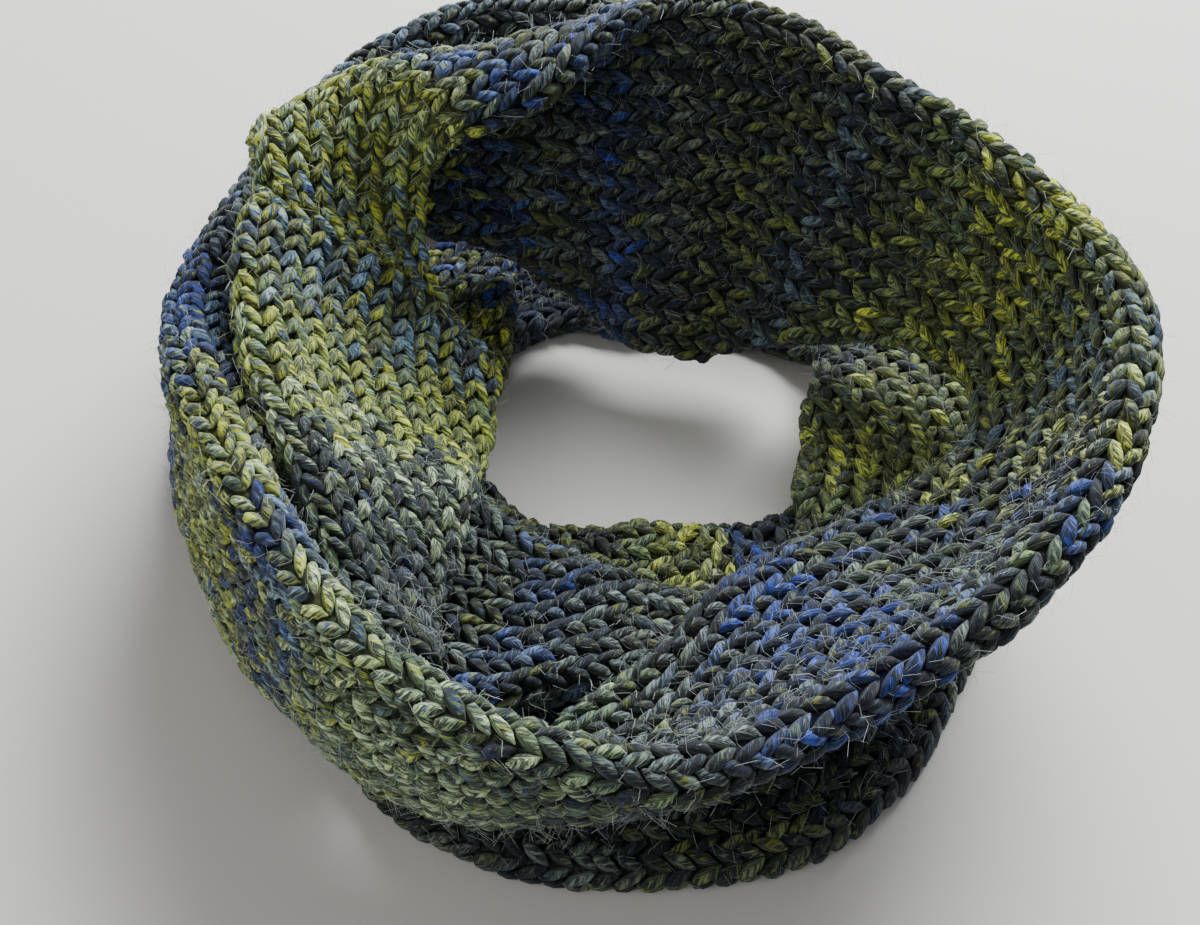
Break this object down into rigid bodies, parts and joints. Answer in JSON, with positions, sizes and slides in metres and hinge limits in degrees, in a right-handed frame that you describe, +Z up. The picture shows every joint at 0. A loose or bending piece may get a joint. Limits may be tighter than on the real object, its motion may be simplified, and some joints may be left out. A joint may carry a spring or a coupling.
{
  "type": "infinity scarf",
  "caption": "Chunky knitted infinity scarf, a pressed-flat tube joined end to end, wound three times into a standing nest with an open centre.",
  "frame": {"origin": "centre of the scarf's footprint, on the surface it stands on", "axes": "+Z up; -Y towards the front, where the upper turn leans out; +X to the right of the front; the half turn and the inward panel are at the left"},
  "size_m": [0.2542, 0.2898, 0.1054],
  "materials": {
    "blue_grey": "matte wool knit",
    "grey_green": "matte wool knit",
    "charcoal": "matte wool knit",
    "olive_lime": "matte wool knit",
    "lime": "matte wool knit"
  },
  "bodies": {
    "root": {"outer_left": "blue_grey", "front_left": "grey_green", "front_right": "charcoal", "right_turn": "olive_lime", "back_right": "charcoal", "back_left": "blue_grey", "twist": "grey_green", "panel_top": "lime", "left_panel": "lime", "panel_foot": "olive_lime", "inner_fold": "charcoal", "right_strip": "olive_lime", "under_back": "blue_grey", "table_left": "charcoal", "table_front": "charcoal", "table_right": "charcoal", "table_back": "blue_grey"}
  },
  "joints": []
}
